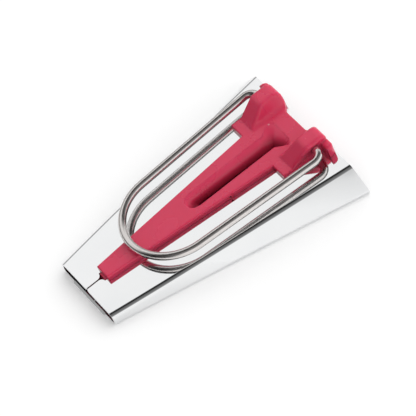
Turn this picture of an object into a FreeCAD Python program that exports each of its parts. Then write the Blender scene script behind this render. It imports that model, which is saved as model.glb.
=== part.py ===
import FreeCAD, Part
import math
import os
import re
import Sketcher
from FreeCAD import Placement, Rotation, Vector

doc = FreeCAD.newDocument("BiasTapeMaker")

# Driving dimensions, all in millimetres and degrees
SIZES = [
    ("body_length", 60.0, "length of the flaps from tip to mouth"),
    ("sheet_gauge", 0.5, "thickness of the folded sheet"),
    ("tip_crease", 10.25, "half width at the upper fold, tip"),
    ("mouth_crease", 17.96, "half width at the upper fold, mouth"),
    ("tip_rim", 10.2, "half width at the lower fold, tip"),
    ("mouth_rim", 23.3, "half width at the lower fold, mouth"),
    ("tip_height", 3.2, "height of the channel at the tip"),
    ("mouth_height", 6.0, "height of the channel at the mouth"),
    ("crease_round_tip", 0.95, "outer radius of the upper bend, tip"),
    ("crease_round_mouth", 1.4, "outer radius of the upper bend, mouth"),
    ("rim_round", 0.7, "outer radius of the lower bend"),
    ("bend_steps", 6, "narrow strips that make up one bend"),
    ("slit_half", 0.13, "half width of the slit between the flaps"),
    ("flap_corner", 0.35, "rounding of the flap corners at the tip"),
    ("slot_start", 4.3, "where the slit widens for the guide"),
    ("slot_front", 1.3, "half width of the slot at its front"),
    ("slot_rear", 5.3, "half width of the slot at the mouth"),
    ("slot_corner", 0.9, "rounding of the flap corners at the slot"),
    ("lip_reach", 0.4, "bottom plate in front of the flaps"),
    ("lip_half", 6.0, "half width of the front lip"),
    ("mouth_reach", 0.4, "bottom plate behind the flaps"),
    ("guide_gap", 0.15, "play between the guide's stem and the slot"),
    ("tongue_front", 4.9, "front end of the tongue"),
    ("tongue_tip", 2.15, "half width of the tongue at its front"),
    ("tongue_root", 5.9, "half width of the tongue at the shoulders"),
    ("tongue_top", 1.45, "height of the tongue above the flaps"),
    ("tongue_round", 0.35, "rounding of the tongue's upper edges"),
    ("shoulder_lead", 2.3, "shoulders in front of the ears"),
    ("shoulder_inset", 0.35, "shoulders' side inside the ears' outer face"),
    ("bridge_behind", 2.0, "bridge behind the hole centre"),
    ("foot_room", 0.6, "room for the folded cloth above the foot"),
    ("foot_thick", 0.8, "thickness of the foot"),
    ("foot_front", 1.5, "front end of the foot"),
    ("foot_tip", 6.2, "half width of the foot at its front"),
    ("foot_back", 11.1, "rear end of the foot in front of the hole centre"),
    ("foot_root", 11.0, "half width of the foot at its rear"),
    ("groove_start", 28.2, "front end of the groove"),
    ("groove_half", 2.2, "half width of the groove at its lip"),
    ("groove_flare", 5.6, "start of the groove's flare in front of the hole centre"),
    ("groove_back", 1.6, "rear end of the groove in front of the hole centre"),
    ("groove_mouth", 4.3, "half width of the groove between the ears"),
    ("groove_draft", 0.5, "how far the groove's walls lean in"),
    ("groove_wall", 0.95, "wall round the groove inside the channel"),
    ("ear_inner", 6.7, "inner edge of an ear's top"),
    ("ear_toe", 5.3, "inner foot of an ear"),
    ("ear_reach", 6.5, "front foot of an ear in front of its hole"),
    ("ear_slope", 1.6, "upper end of an ear's sloping front before its hole"),
    ("ear_behind", 3.5, "rear of an ear behind its hole"),
    ("ear_over", 2.17, "top of an ear above its hole's centre"),
    ("ear_lean", 0.2, "outward lean of an ear's side for each millimetre of height"),
    ("ear_round", 1.6, "rounding over an ear's top"),
    ("ear_edge", 0.55, "rounding of an ear's edges"),
    ("ear_blend", 1.2, "blend between an ear's foot and the bridge"),
    ("ear_wall", 1.2, "wall between the hole's floor and the inner face"),
    ("pivot_inset", 3.4, "hole centre in front of the flaps' rear edge"),
    ("rest_gap", 0.33, "gap between the resting wire and the tongue"),
    ("side_play", 0.5, "gap between an ear and the bend of the wire"),
    ("pivot_play", 0.05, "radial play of the wire in its hole"),
    ("stop_play", 0.78, "gap between the wire and the stop behind it"),
    ("stop_width", 2.5, "stop beyond the ear's outer face"),
    ("stop_top", 3.0, "height of the stop above the flaps"),
    ("stop_round", 0.45, "rounding of the stop's upper edges"),
    ("stop_corner", 1.2, "rounding of the stop's rear corner"),
    ("wire_radius", 0.92, "radius of the wire"),
    ("loop_radius", 11.4, "centre line radius of the U bend"),
    ("loop_centre", 24.8, "centre of the U bend along the flaps"),
    ("leg_half", 13.15, "half spacing of the legs at the ears"),
    ("wire_bend", 2.3, "centre line radius of the ends' bends"),
    ("end_gap", 0.3, "gap between the wire's end and the hole's floor"),
]

sheet = doc.addObject("Spreadsheet::Sheet", "Sizes")
for row, (alias, value, note) in enumerate(SIZES, 1):
    sheet.set("A%d" % row, alias)
    sheet.set("B%d" % row, str(value))
    sheet.set("C%d" % row, note)
    sheet.setAlias("B%d" % row, alias)
doc.recompute()


# Places that follow from the sizes above, so that every fit keeps its clearance
PLACES = {
    "pivot_along": "body_length - pivot_inset",
    "pivot_height": "tongue_top + wire_radius + rest_gap",
    "ear_outer": "leg_half - wire_bend - side_play",
    "ear_front": "pivot_along - ear_reach",
    "pivot_depth": "ear_outer - ear_inner - ear_wall",
    "shoulder_front": "ear_front - shoulder_lead",
    "shoulder_half": "ear_outer - shoulder_inset",
    "shoulder_rear": "pivot_along + bridge_behind",
    "foot_rear": "pivot_along - foot_back",
    "groove_kink": "pivot_along - groove_flare",
    "groove_end": "pivot_along - groove_back",
    "ear_top": "pivot_height + ear_over",
    "ear_bend": "pivot_along - ear_slope",
    "ear_rear": "pivot_along + ear_behind",
    "ear_crest": "ear_outer + ear_lean * ear_over",
    "stop_front": "pivot_along + wire_radius + stop_play",
    "stop_outer": "ear_outer + stop_width",
}
WORDS = [entry[0] for entry in SIZES]


def in_sheet(expression):
    """The same expression with each word pointed at its cell or worked out from its place."""
    def swap(found):
        word = found.group(0)
        if word in PLACES:
            return "(%s)" % in_sheet(PLACES[word])
        return "Sizes." + word if word in WORDS else word
    return re.sub("[a-z_]+", swap, expression)


def size(expression):
    """Value of an expression written in the sheet's words."""
    return float(sheet.evalExpression(in_sheet(expression)))


def bind(obj, prop, expression):
    """Drive one property by an expression of the sheet's words."""
    obj.setExpression(prop, in_sheet(expression))


# The flaps' upper face is a plane that rises toward the mouth; the guide and the handle are built on it
HALF = "body_length / 2"
rise = size("mouth_height - tip_height") / size("body_length")
flap_frame = Placement(
    Vector(0, -size(HALF), size("tip_height")),
    Rotation(Vector(1, 0, 0), math.degrees(math.atan(rise))),
)


# Folded sheet

def bend_points(before, corner, after, radius):
    """Points along the bend that rounds one corner of a section."""
    back = (before - corner).normalize()
    ahead = (after - corner).normalize()
    half = back.getAngle(ahead) / 2
    centre = corner + (back + ahead).normalize() * (radius / math.sin(half))
    first = corner + back * (radius / math.tan(half)) - centre
    turn = Rotation(first, corner + ahead * (radius / math.tan(half)) - centre)
    steps = round(size("bend_steps"))
    axis, angle = turn.Axis, math.degrees(turn.Angle)
    return [centre + Rotation(axis, angle * step / steps).multVec(first) for step in range(steps + 1)]


def fold_section(along):
    """Corner points of the C-shaped section of the sheet at one distance from the tip."""
    share = along / size("body_length")
    rim = size("tip_rim") + size("mouth_rim - tip_rim") * share
    crease = size("tip_crease") + size("mouth_crease - tip_crease") * share
    height = size("tip_height") + size("mouth_height - tip_height") * share
    crease_round = size("crease_round_tip") + size("crease_round_mouth - crease_round_tip") * share
    slit = size("slit_half")
    gauge = size("sheet_gauge")
    lean = math.atan2(rim - crease, height)
    inset = gauge / math.cos(lean)
    inner_rim = rim - inset - gauge * math.tan(lean)
    inner_crease = crease - inset + gauge * math.tan(lean)
    outer = [(0, 0), (rim, 0), (crease, height), (slit, height)]
    inner = [(0, gauge), (inner_rim, gauge), (inner_crease, height - gauge), (slit, height - gauge)]
    skins = []
    for corners, thinner in ((outer, 0), (inner, gauge)):
        points = [Vector(x, along, z) for x, z in corners]
        lower = bend_points(*points[0:3], size("rim_round") - thinner)
        upper = bend_points(*points[1:4], crease_round - thinner)
        right = lower + upper + [points[3]]
        left = [Vector(-point.x, point.y, point.z) for point in reversed(right)]
        skins.append(left + right)
    return skins[0] + skins[1][::-1]


def span_face(corners):
    """Face between two matching edges: a plane where they share one, else a ruled surface."""
    normal = (corners[1] - corners[0]).cross(corners[3] - corners[0]).normalize()
    if abs((corners[2] - corners[0]).dot(normal)) < 1e-6:
        return Part.Face(Part.makePolygon(corners + corners[:1]))
    return Part.makeRuledSurface(Part.makeLine(*corners[0:2]), Part.makeLine(*corners[3:1:-1]))


def folded_solid(front, rear):
    """Closed solid between two matching sections of the sheet."""
    first, last = fold_section(front), fold_section(rear)
    pairs = list(zip(first, last))
    sides = [span_face([a, c, d, b]) for (a, b), (c, d) in zip(pairs, pairs[1:] + pairs[:1])]
    ends = [Part.Face(Part.makePolygon(points + points[:1])) for points in (first, last)]
    shell = Part.makeShell(sides + ends)
    shell.sewShape()
    solid = Part.makeSolid(shell)
    if solid.Volume < 0:
        solid.reverse()
    return solid


folded = doc.addObject("Part::Feature", "FoldedSheet")
spare = 1.0
folded.Shape = folded_solid(-spare, size("body_length") + spare)


def trim_box(name, length, width, height, x, y, z):
    """A cutting block whose sides and corner are bound to the sheet."""
    box = doc.addObject("Part::Box", name)
    bind(box, "Length", length)
    bind(box, "Width", width)
    bind(box, "Height", height)
    bind(box, "Placement.Base.x", x)
    bind(box, "Placement.Base.y", y)
    bind(box, "Placement.Base.z", z)
    return box


wide = "3 * mouth_rim"
tall = "3 * mouth_height"
trims = [
    trim_box("TrimFront", wide, "5", tall, "-1.5 * mouth_rim", "-5 - lip_reach", "-mouth_height"),
    trim_box("TrimFlapFront", wide, "5", tall, "-1.5 * mouth_rim", "-5", "sheet_gauge"),
    trim_box("TrimLipLeft", wide, "5", tall, "-3 * mouth_rim - lip_half", "-5", "-mouth_height"),
    trim_box("TrimLipRight", wide, "5", tall, "lip_half", "-5", "-mouth_height"),
]
mouth_trim = doc.addObject("Part::Box", "TrimMouth")
bind(mouth_trim, "Length", wide)
bind(mouth_trim, "Width", "5")
bind(mouth_trim, "Height", tall)
mouth_lean = math.degrees(math.atan(size("mouth_reach / mouth_height")))
mouth_frame = Placement(Vector(0, size("body_length + mouth_reach"), 0), Rotation(Vector(1, 0, 0), mouth_lean))
mouth_trim.Placement = mouth_frame * Placement(Vector(-1.5 * size("mouth_rim"), 0, -5), Rotation())

slot_block = doc.addObject("Part::Wedge", "SlotBlock")
for prop, expression in (
    ("Xmin", "-slot_front"), ("Xmax", "slot_front"),
    ("X2min", "-slot_rear - 0.1"), ("X2max", "slot_rear + 0.1"),
    ("Ymin", "slot_start"), ("Ymax", "body_length + 2"),
    ("Zmin", "tip_height / 2"), ("Zmax", "mouth_height + 2"),
    ("Z2min", "tip_height / 2"), ("Z2max", "mouth_height + 2"),
):
    bind(slot_block, prop, expression)

trim_all = doc.addObject("Part::MultiFuse", "SheetTrims")
trim_all.Shapes = trims + [mouth_trim, slot_block]
trimmed = doc.addObject("Part::Cut", "TrimmedSheet")
trimmed.Base = folded
trimmed.Tool = trim_all
doc.recompute()


def edges_where(shape, test):
    """Numbers of the edges whose middle point passes a test."""
    found = []
    for number, edge in enumerate(shape.Edges, 1):
        middle = edge.valueAt((edge.FirstParameter + edge.LastParameter) / 2)
        if test(edge, middle):
            found.append(number)
    return found


def upright(edge):
    """True for a short straight edge that stands on the sheet."""
    line = edge.lastVertex().Point - edge.firstVertex().Point
    return edge.Length < 2 * size("sheet_gauge") and abs(line.z) > 0.7 * edge.Length


metal = doc.addObject("Part::Fillet", "MetalBody")
metal.Base = trimmed
slot_corners = edges_where(
    trimmed.Shape,
    lambda edge, middle: upright(edge) and abs(middle.y - size("slot_start")) < 0.1
    and abs(middle.x) < size("slit_half") + 0.05,
)
flap_corners = edges_where(
    trimmed.Shape,
    lambda edge, middle: upright(edge) and abs(middle.y) < 0.05 and abs(middle.x) < size("slit_half") + 0.05
    and middle.z > 2 * size("sheet_gauge"),
)
lip_corners = edges_where(
    trimmed.Shape,
    lambda edge, middle: upright(edge) and abs(middle.y + size("lip_reach")) < 0.05,
)
metal.Edges = (
    [(number, size("slot_corner"), size("slot_corner")) for number in slot_corners]
    + [(number, size("flap_corner"), size("flap_corner")) for number in flap_corners]
    + [(number, 0.3, 0.3) for number in lip_corners]
)
metal.Label = "metal_body"
metal.Placement = Placement(Vector(0, -size(HALF), 0), Rotation())

# Moulded guide, drawn in the flap plane

body = doc.addObject("PartDesign::Body", "PlasticGuide")
body.Label = "plastic_guide"
doc.recompute()


def plane(role):
    """One of the guide's own origin planes."""
    return next(item for item in body.Origin.OriginFeatures if item.Role == role)


def new_sketch(name, role, offset="0"):
    """Empty sketch on an origin plane, moved along its normal by an expression."""
    sketch = body.newObject("Sketcher::SketchObject", name)
    sketch.AttachmentSupport = [(plane(role), "")]
    sketch.MapMode = "FlatFace"
    sketch.AttachmentOffset = Placement(Vector(0, 0, size(offset)), Rotation())
    bind(sketch, "AttachmentOffset.Base.z", offset)
    return sketch


def pin_point(sketch, geometry, position, across, along, tag):
    """Fix one sketch point by two expressions."""
    for kind, expression, axis in (("DistanceX", across, -2), ("DistanceY", along, -1)):
        if abs(size(expression)) < 1e-9:
            sketch.addConstraint(Sketcher.Constraint("PointOnObject", geometry, position, axis))
            continue
        index = sketch.addConstraint(
            Sketcher.Constraint(kind, -1, 1, geometry, position, size(expression))
        )
        label = tag + kind[-1]
        sketch.renameConstraint(index, label)
        bind(sketch, "Constraints." + label, expression)


def polygon(sketch, corners, tag="p"):
    """Closed polygon whose corners are pairs of expressions."""
    points = [Vector(size(across), size(along), 0) for across, along in corners]
    first = sketch.GeometryCount
    for start, end in zip(points, points[1:] + points[:1]):
        sketch.addGeometry(Part.LineSegment(start, end), False)
    count = len(points)
    for step in range(count):
        following = first + (step + 1) % count
        sketch.addConstraint(Sketcher.Constraint("Coincident", first + step, 2, following, 1))
    for step, (across, along) in enumerate(corners):
        pin_point(sketch, first + step, 1, across, along, "%s%d" % (tag, step))


def mirrored_outline(half):
    """Corner pairs of an outline that is symmetric about the middle."""
    other = [("-(%s)" % across, along) for across, along in reversed(half)]
    return list(half) + other


def pad(name, sketch, length, reverse=False):
    """Pad of a sketch by an expression."""
    feature = body.newObject("PartDesign::Pad", name)
    feature.Profile = sketch
    bind(feature, "Length", length)
    feature.Reversed = reverse
    doc.recompute()
    return feature


def cut(name, sketch, length, reverse=False):
    """Pocket of a sketch by an expression."""
    feature = body.newObject("PartDesign::Pocket", name)
    feature.Profile = sketch
    bind(feature, "Length", length)
    feature.Reversed = reverse
    doc.recompute()
    return feature


def round_edges(name, radius_expression, test):
    """Fillet of the guide's edges that pass a test."""
    base = body.Tip
    names = ["Edge%d" % number for number in edges_where(base.Shape, test)]
    feature = body.newObject("PartDesign::Fillet", name)
    feature.Base = (base, names)
    bind(feature, "Radius", radius_expression)
    doc.recompute()
    return feature


# Yoke: a bar with a sloping front, cut through the middle so that two ears are left
yoke_sketch = new_sketch("YokeSide", "YZ_Plane", "-ear_crest")
slope = "(ear_top - tongue_top) / (ear_bend - ear_front)"
polygon(yoke_sketch, [
    ("ear_front - 0.7 / (%s)" % slope, "0"),
    ("ear_front - 0.7 / (%s)" % slope, "tongue_top - 0.7"),
    ("ear_bend", "ear_top"),
    ("ear_rear", "ear_top"),
    ("ear_rear", "0"),
])
pad("Yoke", yoke_sketch, "2 * ear_crest")
round_edges(
    "YokeBend", "ear_round",
    lambda edge, middle: abs(middle.x) < 0.01 and abs(middle.z - size("ear_top")) < 0.01,
)

valley_sketch = new_sketch("ValleyProfile", "XZ_Plane", "-ear_rear - 1")
polygon(valley_sketch, mirrored_outline([
    ("ear_inner + (ear_inner - ear_toe) / (ear_top - tongue_top)", "ear_top + 1"),
    ("ear_toe", "tongue_top"),
]))
cut("Valley", valley_sketch, "ear_rear - ear_front + 5", True)


def on_valley_wall(point):
    """True where a point lies on an ear's inner wall."""
    rate = size("(ear_inner - ear_toe) / (ear_top - tongue_top)")
    return abs(abs(point.x) - size("ear_toe") - (point.z - size("tongue_top")) * rate) < 0.01


def along_bar(edge):
    """True for an edge that runs from front to rear at one height."""
    return abs(edge.firstVertex().Point.z - edge.lastVertex().Point.z) < 0.01


lean_sketch = new_sketch("EarLean", "XZ_Plane", "-ear_rear - 1")
for side, tag in (("", "r"), ("-1 * ", "l")):
    polygon(lean_sketch, [
        (side + "(ear_crest + 1)", "-0.5"),
        (side + "(ear_crest + 1)", "ear_top"),
        (side + "ear_crest", "ear_top"),
        (side + "(ear_outer - ear_lean * (pivot_height + 0.5))", "-0.5"),
    ], tag)
cut("Lean", lean_sketch, "ear_rear - ear_front + 5", True)
round_edges(
    "EarToes", "ear_blend",
    lambda edge, middle: abs(abs(middle.x) - size("ear_toe")) < 0.01 and abs(middle.z - size("tongue_top")) < 0.01
    and edge.Length > 5,
)
round_edges(
    "EarOuterEdges", "ear_edge",
    lambda edge, middle: abs(middle.x) > size("ear_outer") - 0.4 and middle.z > size("tongue_top") + 0.1,
)
round_edges(
    "EarInnerEdges", "ear_edge",
    lambda edge, middle: on_valley_wall(middle) and middle.z > size("tongue_top") + 1.5
    and not (on_valley_wall(edge.firstVertex().Point) and along_bar(edge) and middle.z < size("ear_top") - 0.1),
)
bridge_sketch = new_sketch("BridgeRear", "XY_Plane", "-1")
polygon(bridge_sketch, mirrored_outline([
    ("ear_inner", "ear_rear + 0.5"),
    ("ear_inner - 0.6", "ear_rear"),
    ("ear_toe - 1.6", "shoulder_rear"),
]))
cut("BridgeCut", bridge_sketch, "ear_top + 2", True)

# Stops behind the wire
stop_sketch = new_sketch("StopOutlines", "XY_Plane")
for side, tag in (("", "r"), ("-1 * ", "l")):
    polygon(stop_sketch, [
        (side + "(ear_outer - 1.5)", "stop_front"),
        (side + "stop_outer", "stop_front"),
        (side + "stop_outer", "ear_rear"),
        (side + "(ear_outer - 1.5)", "ear_rear"),
    ], tag)
pad("Stops", stop_sketch, "stop_top")
round_edges(
    "StopCorners", "stop_corner",
    lambda edge, middle: abs(abs(middle.x) - size("stop_outer")) < 0.01 and abs(middle.y - size("ear_rear")) < 0.01,
)
round_edges(
    "StopTops", "stop_round",
    lambda edge, middle: abs(middle.z - size("stop_top")) < 0.01 and abs(middle.x) > size("ear_outer") + 0.3,
)

# Tongue and shoulders on the flaps
tongue_sketch = new_sketch("TongueOutline", "XY_Plane")
polygon(tongue_sketch, mirrored_outline([
    ("tongue_tip", "tongue_front"),
    ("tongue_root", "shoulder_front"),
    ("shoulder_half", "shoulder_front"),
    ("shoulder_half", "shoulder_rear"),
]))
pad("Tongue", tongue_sketch, "tongue_top")

stem_sketch = new_sketch("StemOutline", "XY_Plane")
slot_rate = "(slot_rear - slot_front) / (body_length + 2 - slot_start)"
polygon(stem_sketch, mirrored_outline([
    ("slot_front - guide_gap", "slot_start + guide_gap"),
    ("slot_front - guide_gap + (shoulder_rear - slot_start) * %s" % slot_rate, "shoulder_rear"),
]))
pad("Stem", stem_sketch, "sheet_gauge", True)

web_sketch = new_sketch("WebOutline", "XY_Plane", "-sheet_gauge / 2")
polygon(web_sketch, mirrored_outline([
    ("slot_front - guide_gap", "slot_start + guide_gap"),
    ("slot_front - guide_gap", "groove_start - groove_wall"),
    ("slot_front + (groove_start - slot_start) * %s - guide_gap" % slot_rate, "groove_start - groove_wall"),
    ("groove_half + groove_wall - 0.2", "groove_start + groove_half"),
    ("groove_half + groove_wall - 0.2", "groove_kink"),
    ("groove_mouth - 0.6", "groove_end - 2 * groove_wall"),
]))
pad("Web", web_sketch, "sheet_gauge / 2 + foot_room + foot_thick", True)

foot_sketch = new_sketch("FootOutline", "XY_Plane", "-sheet_gauge - foot_room")
polygon(foot_sketch, mirrored_outline([
    ("foot_tip", "foot_front"),
    ("foot_root", "foot_rear - 4"),
    ("foot_root - 4", "foot_rear"),
]))
pad("Foot", foot_sketch, "foot_thick", True)
round_edges(
    "TongueEdges", "tongue_round",
    lambda edge, middle: abs(middle.z - size("tongue_top")) < 0.01
    and middle.y < size("shoulder_front") + 0.01 and edge.Length > 1,
)

# Groove for pushing the cloth on, open to the channel and flared between the ears
lip_sketch = new_sketch("GrooveLip", "XY_Plane", "tongue_top + 0.3")
polygon(lip_sketch, mirrored_outline([
    ("groove_half * 0.4", "groove_start"),
    ("groove_half * 0.85", "groove_start + groove_half * 0.4"),
    ("groove_half", "groove_start + groove_half"),
    ("groove_half", "groove_kink"),
    ("groove_mouth", "groove_end - 1"),
    ("groove_mouth * 0.7", "groove_end"),
]))
floor_sketch = new_sketch("GrooveFloor", "XY_Plane", "-sheet_gauge - foot_room - foot_thick - 0.2")
polygon(floor_sketch, mirrored_outline([
    ("groove_half * 0.3", "groove_start + groove_draft"),
    ("groove_half * 0.6", "groove_start + groove_half * 0.4 + groove_draft"),
    ("groove_half - groove_draft", "groove_start + groove_half + groove_draft"),
    ("groove_half - groove_draft", "groove_kink - 1.2"),
    ("groove_half", "groove_end - 4.6"),
    ("groove_half * 0.6", "groove_end - 3.6"),
]))
groove = body.newObject("PartDesign::SubtractiveLoft", "Groove")
groove.Profile = lip_sketch
groove.Sections = [floor_sketch]
groove.Ruled = True
doc.recompute()

# Blind holes for the ends of the wire
for name, side in (("HoleRight", 1), ("HoleLeft", -1)):
    hole_sketch = new_sketch(name + "Circle", "YZ_Plane", "ear_outer + 1" if side > 0 else "-ear_outer - 1")
    hole_sketch.addGeometry(
        Part.Circle(Vector(size("pivot_along"), size("pivot_height"), 0), Vector(0, 0, 1), size("wire_radius")),
        False)
    pin_point(hole_sketch, 0, 3, "pivot_along", "pivot_height", "hole")
    index = hole_sketch.addConstraint(Sketcher.Constraint("Radius", 0, size("wire_radius + pivot_play")))
    hole_sketch.renameConstraint(index, "bore")
    bind(hole_sketch, "Constraints.bore", "wire_radius + pivot_play")
    cut(name, hole_sketch, "pivot_depth + 1", side < 0)

body.Placement = flap_frame

# Wire handle, drawn in the same flap plane at the height of the holes

def handle_route():
    """Centre line of the wire from one blind hole to the other."""
    span = size("pivot_along - wire_bend - loop_centre")
    splay = math.asin((size("leg_half") - size("loop_radius")) / span)
    for _ in range(20):
        splay = math.asin((size("leg_half") * math.cos(splay) - size("loop_radius")) / span)
    level = size("pivot_height")
    loop = size("loop_radius")
    bend = size("wire_bend")
    across = Vector(math.cos(splay), -math.sin(splay), 0)
    loop_centre = Vector(0, size("loop_centre"), level)
    bend_y = size("pivot_along") - bend
    bend_x = (loop - bend + (bend_y - size("loop_centre")) * math.sin(splay)) / math.cos(splay)
    bend_centre = Vector(bend_x, bend_y, level)
    end_x = size("ear_outer - pivot_depth + end_gap")
    corner_way = (across + Vector(0, 1, 0)).normalize()
    half = [
        Vector(end_x, size("pivot_along"), level),
        bend_centre + Vector(0, bend, 0),
        bend_centre + corner_way * bend,
        bend_centre + across * bend,
        loop_centre + across * loop,
    ]
    other = [Vector(-point.x, point.y, point.z) for point in half]
    front_point = loop_centre - Vector(0, loop, 0)
    return Part.Wire([
        Part.makeLine(half[0], half[1]),
        Part.Arc(half[1], half[2], half[3]).toShape(),
        Part.makeLine(half[3], half[4]),
        Part.Arc(half[4], front_point, other[4]).toShape(),
        Part.makeLine(other[4], other[3]),
        Part.Arc(other[3], other[2], other[1]).toShape(),
        Part.makeLine(other[1], other[0]),
    ])


route = doc.addObject("Part::Feature", "HandleRoute")
route.Shape = handle_route()
round_bar = doc.addObject("Part::Circle", "WireSection")
bind(round_bar, "Radius", "wire_radius")
start = route.Shape.Vertexes[0].Point
round_bar.Placement = Placement(start, Rotation(Vector(0, 0, 1), Vector(1, 0, 0)))
handle = doc.addObject("Part::Sweep", "WireHandle")
handle.Sections = [round_bar]
handle.Spine = (route, ["Edge%d" % (number + 1) for number in range(len(route.Shape.Edges))])
handle.Solid = True
handle.Frenet = False
handle.Label = "wire_handle"
doc.recompute()
handle.Placement = flap_frame
doc.recompute()

# Checks and files
os.makedirs("parts", exist_ok=True)
for item in doc.Objects:
    if "Invalid" in item.State or "Error" in item.State:
        raise RuntimeError("%s did not build" % item.Name)
for item in (metal, body, handle):
    if item.Shape.isNull() or not item.Shape.isValid():
        raise RuntimeError("%s has no valid shape" % item.Label)
    item.Shape.exportStep("parts/%s.step" % item.Label)
    box = item.Shape.BoundBox
    print(item.Label, "volume %.1f" % item.Shape.Volume, "solids", len(item.Shape.Solids),
          "x %.2f %.2f y %.2f %.2f z %.2f %.2f" % (box.XMin, box.XMax, box.YMin, box.YMax, box.ZMin, box.ZMax))
wire_length = route.Shape.Length
expected = math.pi * size("wire_radius") ** 2 * wire_length
if abs(handle.Shape.Volume / expected - 1) > 0.02:
    raise RuntimeError("the wire's volume doesn't match its section and length")
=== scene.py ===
import math

import bpy
import numpy as np
from mathutils import Matrix, Vector


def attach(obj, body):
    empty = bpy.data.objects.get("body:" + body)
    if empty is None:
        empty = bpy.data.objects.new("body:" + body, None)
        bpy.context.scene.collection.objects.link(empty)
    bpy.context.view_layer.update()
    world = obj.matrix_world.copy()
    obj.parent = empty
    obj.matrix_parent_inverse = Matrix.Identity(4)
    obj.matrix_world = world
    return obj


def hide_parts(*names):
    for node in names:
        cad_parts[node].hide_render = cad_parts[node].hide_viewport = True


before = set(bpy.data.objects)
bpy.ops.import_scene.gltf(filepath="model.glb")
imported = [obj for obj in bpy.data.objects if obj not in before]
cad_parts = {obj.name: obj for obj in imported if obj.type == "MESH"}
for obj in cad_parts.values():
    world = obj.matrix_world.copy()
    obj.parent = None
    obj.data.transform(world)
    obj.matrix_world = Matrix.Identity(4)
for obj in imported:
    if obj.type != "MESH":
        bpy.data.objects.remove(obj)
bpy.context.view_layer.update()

# Folded channel: one blank of thin nickel-plated steel, mirror polished, pressed into a tapered C.
# Its flaps are folded over the top, where they leave a slit that opens into the slot for the guide;
# the bends are cones, wider toward the mouth, and the bottom plate ends in a short lip at the tip.
BODY_LENGTH, GAUGE = 0.0600, 0.0005
MIDDLE = BODY_LENGTH / 2
FLAP_TIP, FLAP_MOUTH = 0.0032, 0.0060
FOOT_TIP, FOOT_MOUTH, FOOT_BEND = 0.0102, 0.0233, 0.0007
CREASE_TIP, CREASE_MOUTH = 0.01025, 0.01796
CREASE_BEND_TIP, CREASE_BEND_MOUTH = 0.0013, 0.0014
FLAP_CORNER = 0.00045
SLIT_HALF, SLIT_END = 0.00017, 0.00317
SLOT_START, SLOT_FINISH = 0.0043, 0.0620
SLOT_TIP, SLOT_MOUTH = 0.0013, 0.0053
SLIT_FLARE = SLOT_START - SLIT_END
BOTTOM_HALF, LIP_HALF, LIP_REACH, LIP_EDGE_SHARE = 0.0085, 0.0060, 0.0004, 0.4
MOUTH_REACH = 0.0004
AFTER_CORNER, AFTER_SLIT, AFTER_SLOT = 0.0006, 0.0032, 0.0045
STEP_ACROSS, STEP_ALONG = 0.00002, 0.000001
GRAIN_STRETCH, GRAIN_DETAIL = (900, 60, 900), 4
WAVE_SCALE, WAVE_DETAIL, WAVE_STRENGTH, WAVE_DEPTH = 120, 2, 0.05, 0.0002
NICKEL_DARK, NICKEL_LIGHT = (0.85, 0.86, 0.87, 1), (0.90, 0.905, 0.905, 1)
NICKEL_SMOOTH, NICKEL_ROUGH = 0.035, 0.10


def taper(tip, mouth, along):
    """Straight change from the tip's value to the mouth's value: tip + (mouth - tip) * along / length."""
    return tip + (mouth - tip) * along / BODY_LENGTH


def round_gap(radius, reach):
    """Gap between a quarter circle and its tangent: radius - sqrt(radius^2 - reach^2), with the reach
    held between 0 and the radius."""
    reach = np.clip(reach, 0, radius)
    return radius - np.sqrt(radius**2 - reach**2)


def grid_faces(rows, columns, around=False, closed=False):
    """Quads of a grid whose points are listed row by row; around joins its last column to the first one,
    closed its last row to the first one."""
    row, column = np.meshgrid(np.arange(rows if closed else rows - 1),
                              np.arange(columns if around else columns - 1), indexing="ij")
    next_row, next_column = (row + 1) % rows, (column + 1) % columns
    corners = (row * columns + column, row * columns + next_column,
               next_row * columns + next_column, next_row * columns + column)
    return np.stack([corner.ravel() for corner in corners], axis=1)


def shape_mesh(name, points, faces, sharp_degrees):
    """Mesh object at the origin from points and faces, smooth except at edges sharper than an angle."""
    mesh = bpy.data.meshes.new(name)
    mesh.from_pydata(points.reshape(-1, 3).tolist(), [], faces)
    mesh.polygons.foreach_set("use_smooth", np.ones(len(mesh.polygons), bool))
    mesh.set_sharp_from_angle(angle=math.radians(sharp_degrees))
    mesh.update()
    piece = bpy.data.objects.new(name, mesh)
    bpy.context.scene.collection.objects.link(piece)
    return piece


def bend_points(before, corner, after, radius, steps=14):
    """Arc that rounds each row's corner: centre on the bisector at radius / sin(half angle), even turns."""
    back = (before - corner) / np.linalg.norm(before - corner, axis=1, keepdims=True)
    ahead = (after - corner) / np.linalg.norm(after - corner, axis=1, keepdims=True)
    half = np.arccos(np.clip((back * ahead).sum(1), -1, 1)) / 2
    bisector = (back + ahead) / np.linalg.norm(back + ahead, axis=1, keepdims=True)
    centre = corner + bisector * (radius / np.sin(half))[:, None]
    first = corner + back * (radius / np.tan(half))[:, None] - centre
    final = corner + ahead * (radius / np.tan(half))[:, None] - centre
    whole = (math.pi - 2 * half)[:, None]
    share = np.linspace(0, 1, steps + 1)[None]
    early = np.sin((1 - share) * whole) / np.sin(whole)
    late = np.sin(share * whole) / np.sin(whole)
    across = centre[:, :1] + first[:, :1] * early + final[:, :1] * late
    upward = centre[:, 1:] + first[:, 1:] * early + final[:, 1:] * late
    return across, upward


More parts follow.
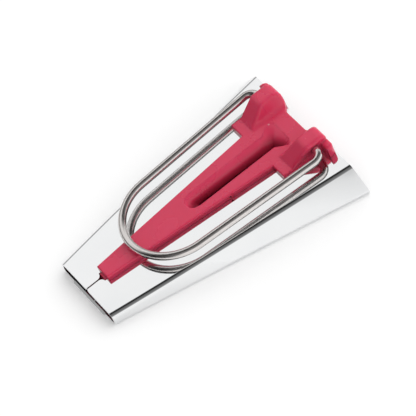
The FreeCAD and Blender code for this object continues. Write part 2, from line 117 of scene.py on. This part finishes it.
def sheet_skin(along, thinner):
    """Half section from the bottom's middle over the foot's and the crease's bends to the flap's free edge,
    one row for each place along the body, moved into the sheet by thinner square to each wall."""
    foot, crease = taper(FOOT_TIP, FOOT_MOUTH, along), taper(CREASE_TIP, CREASE_MOUTH, along)
    height = taper(FLAP_TIP, FLAP_MOUTH, along)
    lean = np.arctan2(foot - crease, height)
    inset = thinner / np.cos(lean)
    foot = foot - inset - thinner * np.tan(lean)
    crease = crease - inset + thinner * np.tan(lean)
    middle, low, high = np.zeros_like(along), np.full_like(along, thinner), height - thinner
    slit = SLIT_HALF + round_gap(SLIT_FLARE, along - SLIT_END) + round_gap(FLAP_CORNER, FLAP_CORNER - along)
    slot = SLOT_TIP + (SLOT_MOUTH - SLOT_TIP) * (along - SLOT_START) / (SLOT_FINISH - SLOT_START)
    edge = np.where(along < SLOT_START, slit, slot)
    pairs = ((middle, low), (foot, low), (crease, high), (edge, high))
    corners = [np.stack(pair, axis=1) for pair in pairs]
    lower = bend_points(*corners[0:3], np.full_like(along, FOOT_BEND - thinner))
    upper = bend_points(*corners[1:4], taper(CREASE_BEND_TIP, CREASE_BEND_MOUTH, along) - thinner)
    bottom = [0.0, LIP_HALF / 2, LIP_HALF - STEP_ACROSS, LIP_HALF + STEP_ACROSS, BOTTOM_HALF]
    bottom = np.tile(bottom, (len(along), 1))
    across = np.hstack([bottom, lower[0], upper[0], edge[:, None]])
    upward = np.hstack([np.full_like(bottom, thinner), lower[1], upper[1], high[:, None]])
    return across, upward


def feed(tree, socket, value):
    """Link a socket to the output that carries its value, or set it to a constant."""
    if isinstance(value, bpy.types.NodeSocket):
        tree.links.new(value, socket)
    else:
        socket.default_value = value


def new_material(name):
    """Node material with its tree and its principled shader's inputs."""
    material = bpy.data.materials.new(name)
    material.use_nodes = True
    return material, material.node_tree, material.node_tree.nodes["Principled BSDF"].inputs


def noise(tree, scale, detail, stretch=(1, 1, 1)):
    """Noise in the piece's own coordinates, which stretch scales axis by axis."""
    place = tree.nodes.new("ShaderNodeTexCoord")
    stretched = tree.nodes.new("ShaderNodeMapping")
    stretched.inputs["Scale"].default_value = stretch
    pattern = tree.nodes.new("ShaderNodeTexNoise")
    pattern.inputs["Scale"].default_value = scale
    pattern.inputs["Detail"].default_value = detail
    tree.links.new(place.outputs["Object"], stretched.inputs["Vector"])
    tree.links.new(stretched.outputs["Vector"], pattern.inputs["Vector"])
    return pattern.outputs["Fac"]


def spread(tree, value, low, high, start=0.0, finish=1.0, smooth=False):
    """Number that goes from low to high while a value goes from start to finish."""
    node = tree.nodes.new("ShaderNodeMapRange")
    node.interpolation_type = "SMOOTHSTEP" if smooth else "LINEAR"
    limits = (("From Min", start), ("From Max", finish), ("To Min", low), ("To Max", high))
    for socket, limit in limits:
        node.inputs[socket].default_value = limit
    tree.links.new(value, node.inputs["Value"])
    return node.outputs["Result"]


def blend(tree, share, first, second):
    """Colour between a first and a second one, by a share from 0 to 1."""
    node = tree.nodes.new("ShaderNodeMix")
    node.data_type = "RGBA"
    feed(tree, node.inputs["Factor"], share)
    feed(tree, node.inputs["A"], first)
    feed(tree, node.inputs["B"], second)
    return node.outputs["Result"]


def relief(tree, height, strength, distance, over=None):
    """Normal with a faint relief from a height pattern, on top of another normal where one is given."""
    node = tree.nodes.new("ShaderNodeBump")
    node.inputs["Strength"].default_value = strength
    node.inputs["Distance"].default_value = distance
    tree.links.new(height, node.inputs["Height"])
    if over is not None:
        tree.links.new(over, node.inputs["Normal"])
    return node.outputs["Normal"]


along = np.concatenate([np.linspace(0, FLAP_CORNER, 8), np.linspace(AFTER_CORNER, SLIT_END, 6),
                        np.linspace(AFTER_SLIT, SLOT_START - STEP_ACROSS, 12),
                        [SLOT_START - STEP_ALONG, SLOT_START + STEP_ALONG],
                        np.linspace(AFTER_SLOT, BODY_LENGTH, 70)])
skins = []
for thinner in (0.0, GAUGE):
    across, upward = sheet_skin(along, thinner)
    depth = np.tile(along[:, None], across.shape[1])
    lip = (across[0] < LIP_HALF) & (upward[0] < FLAP_TIP / 2)
    depth[0] = np.where(lip, -LIP_REACH, 0)
    upward[0] = np.where(lip, upward[0] * LIP_EDGE_SHARE, upward[0])
    depth[-1] = BODY_LENGTH + MOUTH_REACH * (1 - upward[-1] / FLAP_MOUTH)
    right = np.stack([across, depth - MIDDLE, upward], axis=2)
    left = right[:, :0:-1] * np.array([-1, 1, 1])
    skins.append(np.concatenate([left, right], axis=1))
section = np.concatenate([skins[0], skins[1][:, ::-1]], axis=1)
rows, columns = section.shape[:2]
outer = np.arange(columns // 2 - 1)
inner = columns - 1 - outer
tip_edge = np.stack([inner, inner - 1, outer + 1, outer], axis=1)
mouth_edge = tip_edge[:, ::-1] + (rows - 1) * columns
faces = np.concatenate([grid_faces(rows, columns, around=True)[:, ::-1], tip_edge, mouth_edge])
channel = shape_mesh("folded_channel", section, faces.tolist(), sharp_degrees=25)
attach(channel, "folder")
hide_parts("metal_body")

nickel, tree, finish = new_material("mirror_nickel_sheet")
grain = noise(tree, 1.0, GRAIN_DETAIL, GRAIN_STRETCH)
waves = noise(tree, WAVE_SCALE, WAVE_DETAIL)
feed(tree, finish["Base Color"], blend(tree, waves, NICKEL_DARK, NICKEL_LIGHT))
feed(tree, finish["Roughness"], spread(tree, grain, NICKEL_SMOOTH, NICKEL_ROUGH))
feed(tree, finish["Normal"], relief(tree, waves, WAVE_STRENGTH, WAVE_DEPTH))
finish["Metallic"].default_value = 1.0
channel.data.materials.append(nickel)

# Guide: one glossy crimson moulding that sits on the flaps, with its stem in the slot
# and its foot inside the channel; two ears carry the handle and a rounded groove takes the awl.
CRIMSON_DARK, CRIMSON_LIGHT = (0.60, 0.027, 0.082, 1), (0.68, 0.037, 0.107, 1)
# painted shade: near-black reds that stand in for the shade below the flaps and deep in the groove
CRIMSON_INSIDE_SHADE, CRIMSON_DEEP_SHADE = (0.10, 0.006, 0.014, 1), (0.27, 0.012, 0.034, 1)
PAINTED_SHADE_SHARE = 0.85
SHADE_BELOW, RAISED_ABOVE = -0.0002, 0.0024
# painted shade in the groove: heights where the throat's colour starts and finishes darkening with depth
SHADE_DEEP_START, SHADE_DEEP_FINISH = 0.0016, 0.0003
CLOUD_SCALE, CLOUD_DETAIL, PEEL_STRENGTH, PEEL_DEPTH = 140, 5, 0.12, 0.00006
CRIMSON_SMOOTH, CRIMSON_ROUGH = 0.20, 0.34
EDGE_RADIUS, RAISED_EXTRA, EDGE_SAMPLES = 0.0005, 0.0006, 8
GLOW_COLOURS, GLOW_DEPTH = (1.0, 0.12, 0.15), 0.0009
GLOW_SOLID, GLOW_SHELL = 0.30, 0.05


def reckon(tree, kind, *values):
    """Math node of one kind whose inputs are sockets or numbers."""
    node = tree.nodes.new("ShaderNodeMath")
    node.operation = kind
    for socket, value in zip(node.inputs, values):
        feed(tree, socket, value)
    return node.outputs[0]


def moulded(name, solid):
    """Crimson plastic with a faint cloudiness and orange peel, with painted shade that darkens it below the
    flaps;
    on the solid it also softens the edges, and on a shell the painted shade darkens it with the depth
    instead."""
    material, tree, finish = new_material(name)
    place = tree.nodes.new("ShaderNodeTexCoord")
    spot = tree.nodes.new("ShaderNodeSeparateXYZ")
    tree.links.new(place.outputs["Object"], spot.inputs["Vector"])
    slope = (FLAP_MOUTH - FLAP_TIP) / BODY_LENGTH
    underside = (FLAP_TIP + FLAP_MOUTH) / 2 - GAUGE
    above_sheet = reckon(tree, "SUBTRACT", reckon(tree, "SUBTRACT", spot.outputs["Z"], underside),
                         reckon(tree, "MULTIPLY", spot.outputs["Y"], slope))
    clouds = noise(tree, CLOUD_SCALE, CLOUD_DETAIL)
    if solid:
        # painted shade: below the flaps' underside the crimson is darkened where the channel's shade falls
        shade_share = reckon(tree, "LESS_THAN", above_sheet, SHADE_BELOW)
        raised = reckon(tree, "GREATER_THAN", above_sheet, RAISED_ABOVE)
        edges = tree.nodes.new("ShaderNodeBevel")
        edges.samples = EDGE_SAMPLES
        feed(tree, edges.inputs["Radius"], reckon(tree, "MULTIPLY_ADD", raised, RAISED_EXTRA, EDGE_RADIUS))
        surface = relief(tree, clouds, PEEL_STRENGTH, PEEL_DEPTH, edges.outputs["Normal"])
    else:
        # painted shade: the throat's colour darkens with depth, standing in for the groove's shade
        shade_share = spread(tree, above_sheet, 0.0, 1.0, SHADE_DEEP_START, SHADE_DEEP_FINISH)
        surface = relief(tree, clouds, PEEL_STRENGTH, PEEL_DEPTH)
    crimson = blend(tree, clouds, CRIMSON_DARK, CRIMSON_LIGHT)
    shade = CRIMSON_INSIDE_SHADE if solid else CRIMSON_DEEP_SHADE
    # mixes the crimson toward the painted shade by the shade share
    colour = blend(tree, reckon(tree, "MULTIPLY", shade_share, PAINTED_SHADE_SHARE), crimson, shade)
    feed(tree, finish["Base Color"], colour)
    feed(tree, finish["Roughness"], spread(tree, clouds, CRIMSON_SMOOTH, CRIMSON_ROUGH))
    feed(tree, finish["Normal"], surface)
    finish["Subsurface Weight"].default_value = GLOW_SOLID if solid else GLOW_SHELL
    finish["Subsurface Radius"].default_value = GLOW_COLOURS
    finish["Subsurface Scale"].default_value = GLOW_DEPTH
    return material


plastic_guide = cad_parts["plastic_guide"]
plastic_guide.data.materials.clear()
plastic_guide.data.materials.append(moulded("crimson_moulding_painted_shade", True))

# Groove's throat: the rounded inside of the guide's groove, part of the same moulding. Its left and rear
# lips roll over into the hollow, and a narrow slit at its bottom lets an awl reach the cloth.
TILT = math.atan2(FLAP_MOUTH - FLAP_TIP, BODY_LENGTH)
TONGUE_TOP, LIP_BELOW, LIP_PROUD = 0.00145, 0.0003, 0.000003
THROAT_BOTTOM, THROAT_MIDDLE = -0.0013, 0.0416
SHELL_SIDE, SHELL_UNDER = np.array([0.00025, 0.00025 * 0.15]), 0.0003
SMOOTHINGS, THROAT_ROWS = 4, 15


def on_flap(across, along, above):
    """World place of a spot on the flaps: the flap plane turned up by its slope and moved to the tip."""
    return np.stack([across, -MIDDLE + along * math.cos(TILT) - above * math.sin(TILT),
                     FLAP_TIP + along * math.sin(TILT) + above * math.cos(TILT)], axis=-1)


# columns: lip across, lip along, slit across, slit along, share of rolled-over lip; millimetres
RING = np.array([
    (0.0, 28.2, 0.0, 30.6, 0.4), (0.88, 28.2, 0.25, 30.6, 0.2), (1.87, 29.08, 0.40, 31.0, 0.0),
    (2.2, 30.4, 0.40, 32.0, 0.0), (2.2, 51.0, 0.10, 49.0, 0.0), (4.3, 54.0, 0.08, 51.0, 0.2),
    (3.0, 55.0, 0.06, 51.5, 0.8), (0.0, 55.2, 0.0, 51.6, 1.0), (-3.0, 55.2, -0.06, 51.5, 1.0),
    (-4.4, 54.0, -0.08, 50.6, 1.0), (-2.3, 50.6, -0.10, 48.0, 1.0), (-2.2, 30.4, -0.40, 32.0, 1.0),
    (-1.87, 29.08, -0.40, 31.0, 1.0), (-0.88, 28.2, -0.25, 30.6, 0.7), (0.0, 28.2, 0.0, 30.6, 0.4)])
RING_STEPS = (3, 4, 4, 18, 8, 4, 6, 6, 4, 8, 18, 4, 4, 3)
ring = np.concatenate([np.linspace(RING[k], RING[k + 1], count, endpoint=False)
                       for k, count in enumerate(RING_STEPS)])
for _ in range(SMOOTHINGS):
    ring = (np.roll(ring, 1, axis=0) + 2 * ring + np.roll(ring, -1, axis=0)) / 4
lip_across, lip_along, slit_across, slit_along = ring[:, :4].T[:, None] / 1000
rolled = ring[None, :, 4]
angle = np.linspace(0, math.pi / 2, THROAT_ROWS)[:, None]
inward = rolled * np.sin(angle) + (1 - rolled) * (1 - np.cos(angle))
downward = rolled * (1 - np.cos(angle)) + (1 - rolled) * np.sin(angle)
lip_height = TONGUE_TOP - LIP_BELOW + (LIP_BELOW + LIP_PROUD) * rolled
across = lip_across + (slit_across - lip_across) * inward
along = lip_along + (slit_along - lip_along) * inward
above = lip_height + (THROAT_BOTTOM - lip_height) * downward
outward = np.stack([lip_across, lip_along - THROAT_MIDDLE], axis=2)
behind = outward / np.linalg.norm(outward, axis=2, keepdims=True) * SHELL_SIDE
front = on_flap(across, along, above)
back = on_flap(across + behind[..., 0], along + behind[..., 1], above - SHELL_UNDER)
throat = np.concatenate([front, back[::-1]])
faces = grid_faces(*throat.shape[:2], around=True, closed=True)
groove_throat = shape_mesh("groove_throat", throat, faces.tolist(), sharp_degrees=60)
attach(groove_throat, "folder")
# the throat's material carries painted shade that deepens toward its bottom
groove_throat.data.materials.append(moulded("crimson_throat_painted_shade", False))

# Moulding marks: the pale stub that the gate left beside the left ear, and the small nick in the tongue's
# right
#  edge, drawn as a low near-black red dome that is painted shade for the nick's hollow; both belong to the
#  guide's moulding.
MARK_RADIUS, MARK_SINK, MARK_ROUGH = 0.00022, 0.00005, 0.25
SPECK_SCALE, SPECK_DETAIL, SPECK_SHADE = 3000, 2, 0.8
GATE_PLACE, GATE_HEIGHT, GATE_COLOUR = (-0.00375, 0.0538, TONGUE_TOP), 0.00012, (0.85, 0.28, 0.34, 1)
# the nick's near-black red is painted shade, not the plastic's own colour
NICK_PLACE, NICK_HEIGHT, NICK_SHADE_COLOUR = (0.00500, 0.0366, 0.00075), 0.00020, (0.16, 0.008, 0.02, 1)


def dome(name, place, height, colour):
    """Low dome: height * (1 - share^2) over a disc, closed below by a flat floor."""
    across, along, above = place
    turn, share = np.meshgrid(np.linspace(0, 2 * math.pi, 24, endpoint=False), np.linspace(0, 1, 9))
    ring_across, ring_along = MARK_RADIUS * share * np.cos(turn), MARK_RADIUS * share * np.sin(turn)
    upper = on_flap(across + ring_across, along + ring_along, above + height * (1 - share**2))
    lower = on_flap(across + ring_across, along + ring_along, above - MARK_SINK + 0 * share)
    points = np.concatenate([upper, lower[::-1]])
    faces = grid_faces(*points.shape[:2], around=True)
    piece = shape_mesh(name, points, faces.tolist(), sharp_degrees=40)
    material, tree, finish = new_material(name + "_plastic")
    speckled = (*(SPECK_SHADE * part for part in colour[:3]), 1)
    specks = noise(tree, SPECK_SCALE, SPECK_DETAIL)
    feed(tree, finish["Base Color"], blend(tree, specks, colour, speckled))
    finish["Roughness"].default_value = MARK_ROUGH
    piece.data.materials.append(material)
    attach(piece, "folder")


dome("gate_stub", GATE_PLACE, GATE_HEIGHT, GATE_COLOUR)
# painted shade: a dark dome put where the nick's hollow is in shade
dome("edge_nick_painted_shade", NICK_PLACE, NICK_HEIGHT, NICK_SHADE_COLOUR)

# Handle: one length of polished steel wire bent into a U on a former; its ends are bent inward
# and sprung into the ears' blind holes, where they turn.
WIRE_RADIUS, REST_GAP = 0.00092, 0.00033
PIVOT_ALONG, LEG_HALF, END_BEND = 0.0566, 0.01315, 0.0023
LOOP_ALONG, LOOP_RADIUS = 0.0248, 0.0114
EAR_OUTER, HOLE_DEPTH, END_GAP = 0.01035, 0.00245, 0.0003
END_ROWS, BEND_ROWS, LEG_ROWS, LOOP_ROWS = 6, 17, 30, 49
DRAW_SCALE, DRAW_DETAIL = 900, 3
STEEL_DARK, STEEL_LIGHT = (0.70, 0.665, 0.65, 1), (0.83, 0.79, 0.77, 1)
STEEL_SMOOTH, STEEL_ROUGH = 0.19, 0.29


def leg_splay(span, rounds=30):
    """Lean of the legs: the angle whose sine is (leg half * cosine of the angle - loop radius) / span."""
    splay = 0.0
    for _ in range(rounds):
        splay = math.asin((LEG_HALF * math.cos(splay) - LOOP_RADIUS) / span)
    return splay


def wire_skin(path, upright, around=40):
    """Round wire: path + radius * (cos * normal + sin * upright), with a point in the middle of each end."""
    turn = np.linspace(0, 2 * math.pi, around, endpoint=False)[None, :, None]
    forward = np.gradient(path, axis=0)
    forward /= np.linalg.norm(forward, axis=1, keepdims=True)
    normal = np.cross(upright, forward)[:, None]
    skin = path[:, None] + WIRE_RADIUS * (normal * np.cos(turn) + upright * np.sin(turn))
    ring = np.arange(around)
    following = (ring + 1) % around
    last_ring, first_middle = (len(path) - 1) * around, len(path) * around
    first_end = np.stack([first_middle + 0 * ring, following, ring], axis=1)
    last_end = np.stack([first_middle + 1 + 0 * ring, last_ring + ring, last_ring + following], axis=1)
    points = np.concatenate([skin.reshape(-1, 3), path[:1], path[-1:]])
    quads = grid_faces(len(path), around, around=True)
    return points, quads.tolist() + first_end.tolist() + last_end.tolist()


bend_along = PIVOT_ALONG - END_BEND
splay = leg_splay(bend_along - LOOP_ALONG)
bend_across = (LOOP_RADIUS - END_BEND + (bend_along - LOOP_ALONG) * math.sin(splay)) / math.cos(splay)
turn = np.linspace(math.pi / 2, -splay, BEND_ROWS)
end_arc = np.stack([bend_across + END_BEND * np.cos(turn), bend_along + END_BEND * np.sin(turn)], axis=1)
turn = np.linspace(-splay, -math.pi / 2, LOOP_ROWS)
loop = np.stack([LOOP_RADIUS * np.cos(turn), LOOP_ALONG + LOOP_RADIUS * np.sin(turn)], axis=1)
end_straight = np.linspace([EAR_OUTER - HOLE_DEPTH + END_GAP, PIVOT_ALONG], end_arc[0], END_ROWS)[:-1]
leg = np.linspace(end_arc[-1], loop[0], LEG_ROWS)[1:-1]
right = np.concatenate([end_straight, end_arc, leg, loop])
route = np.concatenate([right, right[-2::-1] * np.array([-1, 1])])
path = on_flap(route[:, 0], route[:, 1], TONGUE_TOP + WIRE_RADIUS + REST_GAP)
points, faces = wire_skin(path, np.array([0.0, -math.sin(TILT), math.cos(TILT)]))
handle = shape_mesh("bent_wire", points, faces, sharp_degrees=50)
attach(handle, "bail")
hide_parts("wire_handle")

steel, tree, finish = new_material("polished_wire")
marks = noise(tree, DRAW_SCALE, DRAW_DETAIL)
feed(tree, finish["Base Color"], blend(tree, marks, STEEL_DARK, STEEL_LIGHT))
feed(tree, finish["Roughness"], spread(tree, marks, STEEL_SMOOTH, STEEL_ROUGH))
finish["Metallic"].default_value = 1.0
handle.data.materials.append(steel)

# Floor: a white studio sweep that keeps the object's soft shadow. Its small glow, which only the camera
# and mirrors see, lifts the paper to white.
FLOOR_REACH, FLOOR_DROP = 2.0, 0.00005
PAPER_WHITE, PAPER_ROUGH, WHITE = (0.93, 0.93, 0.93, 1), 0.9, (1, 1, 1, 1)
CAMERA_GLOW, MIRROR_GLOW = 0.12, 0.04


def seen_by(tree):
    """Two outputs: 1 for rays from the camera, and 1 for rays from a mirror or through glass."""
    rays = tree.nodes.new("ShaderNodeLightPath").outputs
    return rays["Is Camera Ray"], reckon(tree, "MAXIMUM", rays["Is Glossy Ray"], rays["Is Transmission Ray"])


corners = FLOOR_REACH * np.array([(-1.0, -1.0, 0.0), (1.0, -1.0, 0.0), (1.0, 1.0, 0.0), (-1.0, 1.0, 0.0)])
studio_floor = shape_mesh("studio_floor", corners, [(0, 1, 2, 3)], sharp_degrees=30)
studio_floor.location.z = -FLOOR_DROP
paper, tree, finish = new_material("studio_white")
finish["Base Color"].default_value = PAPER_WHITE
finish["Roughness"].default_value = PAPER_ROUGH
finish["Specular IOR Level"].default_value = 0.0
finish["Emission Color"].default_value = WHITE
camera_ray, mirror_ray = seen_by(tree)
mirror_glow = reckon(tree, "MULTIPLY", mirror_ray, MIRROR_GLOW)
feed(tree, finish["Emission Strength"], reckon(tree, "MULTIPLY_ADD", camera_ray, CAMERA_GLOW, mirror_glow))
studio_floor.data.materials.append(paper)

# Studio room: white walls with a black flag overhead, which polished metal shows along its bends;
# the soft light on the object itself comes from all round, most of it from the mouth's side.
# stops: degrees from straight up toward the right, and how bright a mirror sees the room there
ROOM_STOPS = ((-90, 0.20), (-76, 0.30), (-60, 0.50), (-50, 0.85), (-43, 1.0), (-34, 0.95), (-29, 0.55),
              (-26, 0.03), (2, 0.02), (9, 0.11), (30, 0.17), (49, 0.24), (55, 0.45), (60, 0.82), (68, 0.98),
              (90, 1.0))
FRONT_LEVEL, FRONT_DARK, FRONT_LIGHT = 0.15, -0.78, -0.48
LIGHT_RIGHT, LIGHT_REAR, LIGHT_LEAST = 0.08, 0.85, 0.10

world = bpy.data.worlds.new("studio_room")
bpy.context.scene.world = world
world.use_nodes = True
tree = world.node_tree
way = tree.nodes.new("ShaderNodeSeparateXYZ")
tree.links.new(tree.nodes.new("ShaderNodeTexCoord").outputs["Generated"], way.inputs["Vector"])
leaning = reckon(tree, "ARCTAN2", way.outputs["X"], way.outputs["Z"])
walls = tree.nodes.new("ShaderNodeValToRGB")
ramp = walls.color_ramp.elements
while len(ramp) < len(ROOM_STOPS):
    ramp.new(0.5)
for entry, (degrees, level) in zip(ramp, ROOM_STOPS):
    entry.position = (degrees + 90) / 180
    entry.color = (level, level, level, 1)
feed(tree, walls.inputs["Fac"], spread(tree, leaning, 0.0, 1.0, -math.pi / 2, math.pi / 2))
front_level = spread(tree, way.outputs["Y"], FRONT_LEVEL, 1.0, FRONT_DARK, FRONT_LIGHT, smooth=True)
mirrored = blend(tree, front_level, (0, 0, 0, 1), walls.outputs["Color"])
light = reckon(tree, "MULTIPLY_ADD", way.outputs["X"], LIGHT_RIGHT, 1.0)
light = reckon(tree, "MULTIPLY_ADD", way.outputs["Y"], LIGHT_REAR, light)
light = reckon(tree, "MAXIMUM", light, LIGHT_LEAST)
camera_ray, mirror_ray = seen_by(tree)
room = blend(tree, camera_ray, blend(tree, mirror_ray, light, mirrored), WHITE)
background = tree.nodes["Background"]
feed(tree, background.inputs["Color"], room)
background.inputs["Strength"].default_value = 1.0

# Camera: the photograph's steep side view, from a long lens that stands well back; its roll turns
# the tool's tip to the lower left.
AZIMUTH, ELEVATION, ROLL = math.radians(72.41), math.radians(50.26), math.radians(-22.65)
AIM = Vector((0.00165, 0.03185 - MIDDLE, 0.0030))
CAMERA_DISTANCE, LENS, SENSOR, CLIP_NEAR, CLIP_FAR = 0.700, 280.06, 36.0, 0.01, 10

toward_camera = Vector((math.sin(AZIMUTH) * math.cos(ELEVATION), -math.cos(AZIMUTH) * math.cos(ELEVATION),
                        math.sin(ELEVATION)))
level = Vector((math.cos(AZIMUTH), math.sin(AZIMUTH), 0))
steep = toward_camera.cross(level)
sideways = level * math.cos(ROLL) + steep * math.sin(ROLL)
upward = steep * math.cos(ROLL) - level * math.sin(ROLL)
camera_data = bpy.data.cameras.new("camera")
camera_data.sensor_width = SENSOR
camera_data.lens = LENS
camera_data.clip_start, camera_data.clip_end = CLIP_NEAR, CLIP_FAR
camera = bpy.data.objects.new("camera", camera_data)
bpy.context.scene.collection.objects.link(camera)
facing = Matrix((sideways, upward, toward_camera)).transposed().to_4x4()
camera.matrix_world = Matrix.Translation(AIM + toward_camera * CAMERA_DISTANCE) @ facing
bpy.context.scene.camera = camera
bpy.context.scene.view_settings.view_transform = "Standard"
